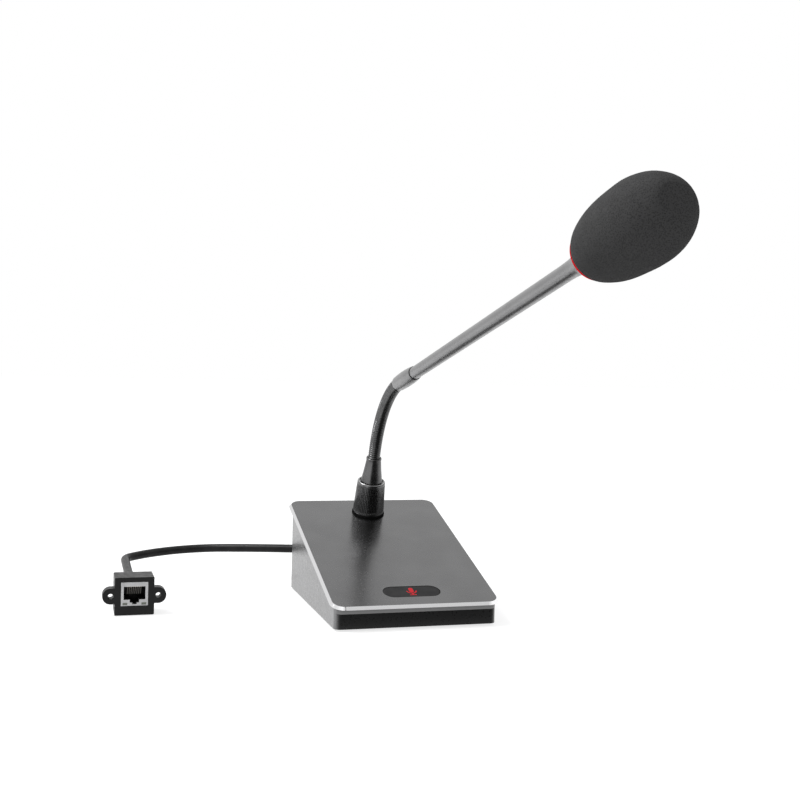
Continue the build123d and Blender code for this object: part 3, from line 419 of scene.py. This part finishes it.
# pale plated contacts with a faint painted glow, so that they show inside the port
contact = Recipe("contact_gold", (0.6, 0.52, 0.4), 1.0, 0.25)
contact.put("Base Color", contact.mix(contact.noise(0.8), (0.54, 0.46, 0.34), (0.66, 0.57, 0.44)))
contact.put("Emission Color", (1.0, 0.96, 0.9)).put("Emission Strength", 0.06)
contact.bump(contact.noise(0.2), 0.003)

# the seat ring gets a deeper matte black than its part's finish: painted shade round the collar's foot
seat_shade_finish = plain("seat_shade_black", grey(0.002), 0.0, 0.8, 0.2, 0.006, 0.05)

RECIPES = {
    "body_metal": body,
    "frame_metal": strip,
    "plate_anodised": plate,
    "button_black": button,
    "ring_red": glow,
    "glyph_red": sign,
    "foam_black": foam,
    "stem_grey": stem,
    "neck_black": coil,
    "cable_pvc": cable,
    "board_green": board,
    "cover_metal": plain("cover_metal", grey(0.03), 0.4, 0.5, 0.6, 0.02),
    "foot_rubber": plain("foot_rubber", grey(0.02), 0.0, 0.75, 0.4, 0.03, 0.3),
    "screw_steel": plain("screw_steel", grey(0.5), 1.0, 0.28, 0.2, 0.006),
    "ballast_iron": plain("ballast_iron", grey(0.1), 0.7, 0.6, 0.8, 0.05),
    "chip_black": plain("chip_black", grey(0.015), 0.0, 0.5, 0.2, 0.01),
    "led_white": plain("led_white", (0.7, 0.7, 0.62), 0.0, 0.4, 0.3, 0.004),
    "socket_nickel": plain("socket_nickel", (0.55, 0.53, 0.5), 1.0, 0.22, 0.2, 0.004),
    "insert_plastic": plain("insert_plastic", grey(0.12), 0.0, 0.45, 0.25, 0.01),
    "contact_gold": contact,
    "collar_black": collar_finish,
    "cone_black": plain("cone_black", grey(0.11), 1.0, 0.26, 0.25, 0.003),
    "capsule_metal": plain("capsule_metal", grey(0.3), 0.9, 0.4, 0.3, 0.01),
    "jack_plastic": plain("jack_plastic", grey(0.007), 0.0, 0.42, 0.25, 0.012, 0.18, 0.25),
    "shield_tin": plain("shield_tin", grey(0.42), 1.0, 0.34, 0.4, 0.01, 0.5, 0.12),
    "light_smoked": plain("light_smoked", (0.1, 0.11, 0.09), 0.0, 0.25, 0.3, 0.004),
    "capacitor_can": plain("capacitor_can", grey(0.55), 1.0, 0.3, 0.3, 0.006),
}

node_slot = {row["node"]: row["material_slot"] for row in frame["record"]["subparts"]}
for node, shape in frame["nodes"].items():
    shape.data.materials.clear()
    finish = seat_shade_finish if node == "seat_ring" else RECIPES[node_slot[node]]
    shape.data.materials.append(finish.material)


def dress(piece, slot, body_name=None, replaced=()):
    """Gives a new piece its finish, the body it rides on and the nodes it stands for."""
    piece.data.materials.append(RECIPES[slot].material)
    if replaced:
        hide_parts(*replaced)
    if body_name:
        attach(piece, body_name)
    return piece


# ---------------------------------------------------------------- flexible neck
COIL_PITCH = 1.4
COIL_DEPTH = 0.48
COIL_AROUND = 56
COIL_STEPS = 9
COIL_TAIL = -6.0


def coil_radius(along):
    """The scalloped outline of a tightly wound round wire, as a function of the angle."""
    def size(angle):
        turn = along / COIL_PITCH - angle / (2 * math.pi)
        across = 2 * (turn - math.floor(turn)) - 1
        return NECK_RADIUS - COIL_DEPTH * (1 - math.sqrt(max(0.0, 1 - across * across)))
    return size


for i in range(JOINT_COUNT):
    middle = JOINT_FIRST + JOINT_PITCH * i
    low = COIL_TAIL if i == 0 else middle - JOINT_PITCH / 2
    high = neck_arc if i == JOINT_COUNT - 1 else middle + JOINT_PITCH / 2
    steps = round((high - low) / COIL_PITCH * COIL_STEPS)
    rings = []
    for step in range(steps + 1):
        along = low + (high - low) * step / steps
        centre, tangent = neck_frame(along)
        rings.append(ring_at(centre, tangent, ACROSS, coil_radius(along), COIL_AROUND))
    section = loft(f"neck_coil_{i + 1}", rings, sharp=50)
    links = [f"neck_link_{i + 1}"] + (["neck_link_0"] if i == 0 else [])
    dress(section, "neck_black", None, links)
    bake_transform(section)

# ---------------------------------------------------------------- collar and cone
COLLAR_BORE = 7.58
COLLAR_NECK_BORE = 5.08
COLLAR_STEP = 10.2
COLLAR_FOOT = 9.6
COLLAR_TOP = 8.65
COLLAR_TAPER_START = COLLAR_START + 2.0
COLLAR_SHOULDER = COLLAR_END - 0.5
RIBS = 56
RIB_STEPS = 8
RIB_DEPTH = 0.36
RIB_FADE = 0.8
RIBBED_RADIUS = 8.5     # only the outer side, beyond this radius, has ribs
RIB_LOW = COLLAR_START + 1.3
RIB_HIGH = COLLAR_END - 1.6


def collar_outer(along):
    """A short straight foot, then a taper to the shoulder."""
    share = max(0.0, (along - COLLAR_TAPER_START) / (COLLAR_SHOULDER - COLLAR_TAPER_START))
    return COLLAR_FOOT - (COLLAR_FOOT - COLLAR_TOP) * min(1.0, share)


collar_profile = [(COLLAR_BORE, COLLAR_START), (9.4, COLLAR_START), (9.55, COLLAR_START + 0.15)]
COLLAR_STEPS = 32
side_start = COLLAR_START + 0.3
side_end = COLLAR_END - 0.9
for step in range(COLLAR_STEPS + 1):
    along = side_start + (side_end - side_start) * step / COLLAR_STEPS
    collar_profile.append((collar_outer(along), along))
collar_profile += [
    (8.62, COLLAR_SHOULDER),
    (8.5, COLLAR_END - 0.25),
    (8.3, COLLAR_END - 0.06),
    (8.15, COLLAR_END),
    (7.75, COLLAR_END),
    (7.6, COLLAR_END - 0.1),
    (7.45, COLLAR_END - 0.7),
    (COLLAR_NECK_BORE, COLLAR_END - 0.7),
    (COLLAR_NECK_BORE, COLLAR_STEP),
    (COLLAR_BORE, COLLAR_STEP),
]


def rib_shape(radius, along, step, angle):
    """Fine upright grooves between flat ribs, fading out at both ends."""
    if radius < RIBBED_RADIUS or along < RIB_LOW or along > RIB_HIGH:
        return radius
    fade = min(1.0, (along - RIB_LOW) / RIB_FADE, (RIB_HIGH - along) / RIB_FADE)
    groove = max(0.0, math.cos(RIBS * angle)) ** 0.8
    return radius - RIB_DEPTH * fade * groove


collar = lathe("ribbed_collar", neck_base, UP, collar_profile, RIBS * RIB_STEPS, True, rib_shape)
dress(collar, "collar_black", "lock_collar", ["lock_collar"])

CONE_START = 21.9
CONE_BORE = NECK_RADIUS + 0.15
CONE_INNER = 5.0
CONE_FOOT = 6.65
CONE_DROP = 2.05
CONE_SIDE_START = CONE_START + 0.15
CONE_SIDE_LENGTH = 13.7
CONE_HOLLOW = 0.12
CONE_STEPS = 16
CONE_LIP = 4.75
cone_throat = CONE_FOOT - CONE_DROP
cone_profile = [(CONE_INNER, CONE_START), (6.5, CONE_START), (CONE_FOOT, CONE_SIDE_START)]
for step in range(1, CONE_STEPS):
    share = step / CONE_STEPS
    radius = CONE_FOOT - CONE_DROP * share - CONE_HOLLOW * math.sin(math.pi * share)
    cone_profile.append((radius, CONE_SIDE_START + CONE_SIDE_LENGTH * share))
cone_profile += [
    (cone_throat, CONE_TOP - 1.6),
    (cone_throat, CONE_TOP - 1.45),
    (CONE_LIP - 0.03, CONE_TOP - 1.3),
    (CONE_LIP, CONE_TOP - 1.1),
    (CONE_LIP, CONE_TOP - 0.4),
    (CONE_LIP - 0.09, CONE_TOP - 0.15),
    (CONE_LIP - 0.25, CONE_TOP),
    (CONE_BORE + 0.1, CONE_TOP),
    (CONE_BORE, CONE_TOP - 0.1),
    (CONE_BORE, CONE_START + 0.6),
    (CONE_INNER, CONE_START + 0.6),
]
cone = lathe("relief_cone", neck_base, UP, cone_profile, ROUND)
dress(cone, "cone_black", "neck_plug", ["strain_cone"])

# ---------------------------------------------------------------- ferrule
FERRULE_START = -1.8
FERRULE_END = 29.5
FERRULE_BELLY = 12.0
FERRULE_MOUTH_RADIUS = 4.38
FERRULE_SWELL = 0.28
FERRULE_TAPER = 0.78
FERRULE_TAPER_POWER = 2.4
FERRULE_BORE = NECK_RADIUS + 0.03
FERRULE_STEM_BORE = 3.3
FERRULE_STEPS = 24


def ferrule_radius(along):
    """Swells to a belly and then tapers to the stem."""
    if along < FERRULE_BELLY:
        share = (along - FERRULE_START) / (FERRULE_BELLY - FERRULE_START)
        return FERRULE_MOUTH_RADIUS + FERRULE_SWELL * math.sin(math.pi / 2 * share)
    share = (along - FERRULE_BELLY) / (FERRULE_END - FERRULE_BELLY)
    return FERRULE_MOUTH_RADIUS + FERRULE_SWELL - FERRULE_TAPER * share ** FERRULE_TAPER_POWER


ferrule_profile = [
    (FERRULE_BORE, FERRULE_START + 0.12),
    (3.86, FERRULE_START),
    (4.1, FERRULE_START),
    (4.24, FERRULE_START + 0.1),
    (FERRULE_MOUTH_RADIUS, FERRULE_START + 0.4),
]
side_start = FERRULE_START + 0.4
side_end = FERRULE_END - 0.3
for step in range(1, FERRULE_STEPS + 1):
    along = side_start + (side_end - side_start) * step / FERRULE_STEPS
    ferrule_profile.append((ferrule_radius(along), along))
ferrule_profile += [
    (3.8, FERRULE_END),
    (FERRULE_STEM_BORE, FERRULE_END),
    (FERRULE_STEM_BORE, FERRULE_END - 6.0),
    (FERRULE_BORE, FERRULE_END - 7.0),
]
ferrule = lathe("neck_ferrule", stem_origin, stem_axis, ferrule_profile, ROUND)
dress(ferrule, "stem_grey", "stem", ["ferrule"])

# ---------------------------------------------------------------- foam windscreen
RING_END = 254.3
FOAM_START = RING_END + 0.1
FOAM_WIDEST = 287.2
FOAM_RADIUS = 15.8
FOAM_REAR = 40.7
FOAM_FRONT = 24.6
FOAM_REAR_POWER = 2.56
FOAM_FACET = 309.5
FOAM_CELL = 0.85
FOAM_PIT = 0.11
FOAM_SWELL = 0.1
FOAM_SWELL_SIZE = 7.0
FOAM_STEPS = 89
FOAM_AROUND = 256
SKIN_STEP = 0.42
FACET_FLAT = FOAM_FACET - 0.08
FACET_EDGE = FOAM_FACET - 0.25
HEAD_BORE = 8.08
HEAD_END = 280.0


def foam_radius(along):
    """A blunt curve behind the widest place and half an ellipse before it."""
    if along < FOAM_WIDEST:
        share = (FOAM_WIDEST - along) / FOAM_REAR
        return FOAM_RADIUS * (1 - share ** FOAM_REAR_POWER) ** (1 / FOAM_REAR_POWER)
    share = (along - FOAM_WIDEST) / FOAM_FRONT
    return FOAM_RADIUS * math.sqrt(1 - share ** 2)


facet = foam_radius(FOAM_FACET)
outline = [(0.4, FACET_EDGE), (facet * 0.5, FOAM_FACET - 0.2), (facet - 1.2, FACET_FLAT)]
outline += [(facet - 0.5, FACET_FLAT), (facet - 0.1, FACET_EDGE)]
side_start = FOAM_FACET - 0.4
side_end = FOAM_START + 0.5
for step in range(1, FOAM_STEPS + 1):
    along = side_start - (side_start - side_end) * step / FOAM_STEPS
    outline.append((foam_radius(along), along))
mouth = foam_radius(FOAM_START)
outline += [(mouth - 0.25, FOAM_START + 0.12), (mouth - 0.6, FOAM_START)]
skin = resample(outline, SKIN_STEP)
inside = [(9.0, FOAM_START), (HEAD_BORE, FOAM_START + 0.3), (HEAD_BORE, 268.0)]
inside += [(HEAD_BORE, HEAD_END + 2.2), (6.0, HEAD_END + 3.2), (0.4, HEAD_END + 4.4)]
foam_profile = skin + inside
skin_count = len(skin)


def foam_shape(radius, along, step, angle):
    """Open cells and a little unevenness on the outer skin."""
    if step >= skin_count - 2 or radius < 1.0:
        return radius
    spot = Vector((radius * math.cos(angle), radius * math.sin(angle), along))
    near = noise.voronoi(spot / FOAM_CELL)[0][0]
    pit = FOAM_PIT * max(0.0, 1.0 - near / 0.6)
    swell = FOAM_SWELL * noise.noise(spot / FOAM_SWELL_SIZE)
    return radius - pit + swell


windscreen = lathe(
    "foam_windscreen", stem_origin, stem_axis, foam_profile, FOAM_AROUND, False, foam_shape, 60
)
dress(windscreen, "foam_black", "windscreen", ["windscreen"])

# ---------------------------------------------------------------- cable
CABLE_RADIUS = 2.65
CABLE_START_Z = 21.0
CABLE_EXIT_X = -9.7
CABLE_END_Z = 11.5
CABLE_AROUND = 40
CABLE_STEP = 1.1
LONG_HEADING = 151.8    # headings are in degrees from +X
WIDE_HEADING = 217.7
LEAD_LENGTH = 2.9
LEAD_RADIUS = 9.6
LONG_LENGTH = 75.6
WIDE_RADIUS = 55.3
REAR_WALL_INSET = 4.4
jack_low, jack_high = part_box("jack_housing")
JACK_X = (jack_low.x + jack_high.x) / 2 / MM
jack_back_y = jack_high.y / MM
wall_y = PLATE_LENGTH * math.cos(SLOPE) / 2 - REAR_WALL_INSET


def turn(radius, start, end):
    """How far a bend goes in x and y, from one heading to another."""
    a, b = math.radians(start), math.radians(end)
    return radius * (math.sin(b) - math.sin(a)), radius * (math.cos(a) - math.cos(b))


legs = [
    ("line", LEAD_LENGTH, 90, 90),
    ("arc", LEAD_RADIUS, 90, LONG_HEADING),
    ("line", LONG_LENGTH, LONG_HEADING, LONG_HEADING),
    ("arc", WIDE_RADIUS, LONG_HEADING, WIDE_HEADING),
]


def leg_shift(kind, size, start, end):
    """How far a whole leg goes in x and y."""
    if kind == "line":
        return size * math.cos(math.radians(start)), size * math.sin(math.radians(start))
    return turn(size, start, end)


def leg_length(kind, size, start, end):
    return size if kind == "line" else size * math.radians(end - start)


left_over = JACK_X - CABLE_EXIT_X - sum(leg_shift(*leg)[0] for leg in legs)
legs.append(("arc", left_over / turn(1, WIDE_HEADING, 270)[0], WIDE_HEADING, 270))
last_straight = wall_y + sum(leg_shift(*leg)[1] for leg in legs) - jack_back_y
legs.append(("line", last_straight, 270, 270))
cable_length = sum(leg_length(*leg) for leg in legs)


def cable_point(along):
    """The cable's centre line: legs in plan, sinking smoothly from the wall to the jack."""
    x, y, left = CABLE_EXIT_X, wall_y, along
    for kind, size, start, end in legs:
        length = leg_length(kind, size, start, end)
        share = min(left / length, 1)
        if kind == "line":
            shift = leg_shift(kind, size * share, start, end)
        else:
            shift = turn(size, start, start + (end - start) * share)
        x, y, left = x + shift[0], y + shift[1], left - length
        if left <= 0:
            break
    whole = max(0.0, min(along / cable_length, 1.0))
    sink = whole * whole * (3 - 2 * whole)
    return Vector((x, y, CABLE_START_Z + (CABLE_END_Z - CABLE_START_Z) * sink))


def cable_skin(name, low, high):
    """The round sheath between two places, with the slight unevenness of moulded rubber."""
    steps = round((high - low) / CABLE_STEP)
    rings = []
    for step in range(steps + 1):
        along = low + (high - low) * step / steps
        centre = cable_point(along)
        tangent = (cable_point(along + 0.05) - cable_point(along - 0.05)).normalized()
        side = tangent.cross(Vector((0, 0, 1))).normalized()
        size = CABLE_RADIUS + 0.02 * noise.noise(Vector((along / 9.0, 0.3, 0.7)))
        rings.append(ring_at(centre, tangent, side, size, CABLE_AROUND))
    return loft(name, rings)


CABLE_JOINTS = (20.0, 92.0, cable_length - 62.0)
CABLE_ENDS = (-10.0, 56.0, 130.0, cable_length - 8.0)
CABLE_NODES = (["cable_lead"], ["cable_middle"], ["cable_bend", "cable_tail"])
for i, joint in enumerate(CABLE_JOINTS):
    sheath = cable_skin(f"cable_sheath_{i + 1}", CABLE_ENDS[i], CABLE_ENDS[i + 1])
    dress(sheath, "cable_pvc", None, CABLE_NODES[i])
    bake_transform(sheath)

# ---------------------------------------------------------------- contacts in the jack
CONTACT_COUNT = 8
CONTACT_WIDTH = 0.4
CONTACT_SIDE = [(0.0, 0.0), (0.0, -0.35), (5.6, -5.3), (5.85, -5.0), (0.6, 0.0)]   # (depth, height)


def contact_row(name, low, high):
    """Equal flat springs that slope down from the top of the port."""
    pitch = (high.x - low.x - CONTACT_WIDTH) / (CONTACT_COUNT - 1)
    corners = len(CONTACT_SIDE)
    verts, faces = [], []
    for i in range(CONTACT_COUNT):
        first = len(verts)
        left = low.x + pitch * i
        for x in (left, left + CONTACT_WIDTH):
            verts += [Vector((x, low.y + depth, high.z + height)) for depth, height in CONTACT_SIDE]
        for k in range(corners):
            m = (k + 1) % corners
            faces.append((first + k, first + m, first + corners + m, first + corners + k))
        faces.append(tuple(first + k for k in range(corners)))
        faces.append(tuple(first + corners + k for k in range(corners)))
    return make_mesh(name, verts, faces)


contacts_low, contacts_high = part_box("jack_contacts")
contacts = contact_row("jack_spring_contacts", contacts_low / MM, contacts_high / MM)
dress(contacts, "contact_gold", "jack", ["jack_contacts"])

# ---------------------------------------------------------------- camera
CAMERA_AT = Vector((-0.1862, -0.6447, 0.1411))
CAMERA_TURN = -0.289206
CAMERA_RISE = 0.029735
CAMERA_ROLL = 0.024565
CAMERA_LENS = 51.3
CAMERA_SENSOR = 36.0

back = Vector((
    math.sin(CAMERA_TURN) * math.cos(CAMERA_RISE),
    -math.cos(CAMERA_TURN) * math.cos(CAMERA_RISE),
    math.sin(CAMERA_RISE),
))
level = Vector((math.cos(CAMERA_TURN), math.sin(CAMERA_TURN), 0))
raised = back.cross(level)
right = level * math.cos(CAMERA_ROLL) + raised * math.sin(CAMERA_ROLL)
upward = raised * math.cos(CAMERA_ROLL) - level * math.sin(CAMERA_ROLL)
camera_data = bpy.data.cameras.new("camera")
camera_data.sensor_width = CAMERA_SENSOR
camera_data.lens = CAMERA_LENS
camera_data.clip_start = 0.01
camera_data.clip_end = 50.0
camera = bpy.data.objects.new("camera", camera_data)
bpy.context.scene.collection.objects.link(camera)
camera.matrix_world = Matrix.Translation(CAMERA_AT) @ Matrix((right, upward, back)).transposed().to_4x4()
bpy.context.scene.camera = camera

# ---------------------------------------------------------------- floor and light
FLOOR_SIZE = 8.0
FLOOR_DROP = 0.0004
FLOOR_DARK_FROM = -50.0     # mm, in front of the base and to the right of the view's line
FLOOR_DARK_FULL = -90.0
VIEW_LEAN = -0.3
floor_mesh = bpy.data.meshes.new("floor")
floor_mesh.from_pydata(
    [(x * FLOOR_SIZE, y * FLOOR_SIZE, -FLOOR_DROP) for x, y in ((-1, -1), (1, -1), (1, 1), (-1, 1))],
    [],
    [(0, 1, 2, 3)],
)
floor = bpy.data.objects.new("floor", floor_mesh)
bpy.context.scene.collection.objects.link(floor)
floor_paint = Recipe("floor_paint", (0.3, 0.3, 0.3), 0.0, 0.9, 0.0)
mirrored = floor_paint.node("ShaderNodeLightPath").outputs["Is Glossy Ray"]
place_ahead = floor_paint.distance((0, 0, 0), (0, 1, 0))
ahead = floor_paint.ramp(place_ahead, FLOOR_DARK_FULL, FLOOR_DARK_FROM, 1.0, 0.0)
place_aside = floor_paint.distance((0, 0, 0), (1, VIEW_LEAN, 0))
aside = floor_paint.ramp(place_aside, FLOOR_DARK_FULL, FLOOR_DARK_FROM)
in_front = floor_paint.maths("MULTIPLY", ahead, aside)
unlit = floor_paint.maths("MULTIPLY", mirrored, in_front)
floor_paint.put("Base Color", floor_paint.mix(unlit, grey(0.3), grey(0.02)))
floor_paint.put("Emission Color", (1.0, 1.0, 1.0))
floor_paint.put("Emission Strength", floor_paint.ramp(unlit, 0, 1, 0.72, 0.02))
floor_mesh.materials.append(floor_paint.material)

# a white sky; mirrored in glossy metal it has a dark zone in front of the talker
DARK_ZONE = Vector((0.25, -0.96, -0.08)).normalized()
DARK_ZONE_EDGES = (0.62, 0.93)
world = bpy.data.worlds.new("studio")
world.use_nodes = True
bpy.context.scene.world = world
sky = world.node_tree
sky.nodes.clear()


def sky_node(kind, **settings):
    made = sky.nodes.new(kind)
    for key, value in settings.items():
        setattr(made, key, value)
    return made


sky_out = sky_node("ShaderNodeOutputWorld")
sky_light = sky_node("ShaderNodeBackground")
sky_spot = sky_node("ShaderNodeTexCoord")
sky_dot = sky_node("ShaderNodeVectorMath", operation="DOT_PRODUCT")
sky_dot.inputs[1].default_value = DARK_ZONE
sky_dark = sky_node("ShaderNodeMapRange", interpolation_type="SMOOTHSTEP")
sky_dark.inputs["From Min"].default_value, sky_dark.inputs["From Max"].default_value = DARK_ZONE_EDGES
sky_ray = sky_node("ShaderNodeLightPath")
sky_only = sky_node("ShaderNodeMath", operation="MULTIPLY")
sky_mix = sky_node("ShaderNodeMix", data_type="RGBA")
sky_mix.inputs[6].default_value = (1.0, 1.0, 1.0, 1)
sky_mix.inputs[7].default_value = (0.04, 0.04, 0.04, 1)
sky.links.new(sky_spot.outputs["Generated"], sky_dot.inputs[0])
sky.links.new(sky_dot.outputs["Value"], sky_dark.inputs["Value"])
sky.links.new(sky_dark.outputs[0], sky_only.inputs[0])
sky.links.new(sky_ray.outputs["Is Glossy Ray"], sky_only.inputs[1])
sky.links.new(sky_only.outputs[0], sky_mix.inputs[0])
sky.links.new(sky_mix.outputs[2], sky_light.inputs["Color"])
sky.links.new(sky_light.outputs[0], sky_out.inputs[0])


def soft_light(name, place, target, size, power):
    """A round soft box at a place, aimed at a target."""
    lamp_data = bpy.data.lights.new(name, "AREA")
    lamp_data.shape = "DISK"
    lamp_data.size = size
    lamp_data.energy = power
    lamp = bpy.data.objects.new(name, lamp_data)
    bpy.context.scene.collection.objects.link(lamp)
    lamp.location = place
    lamp.rotation_euler = (Vector(target) - Vector(place)).to_track_quat("-Z", "Y").to_euler()


soft_light("key_light", (-0.7, 0.1, 1.0), (0, -0.1, 0.1), 0.6, 16.0)

bpy.context.scene.view_settings.view_transform = "Standard"
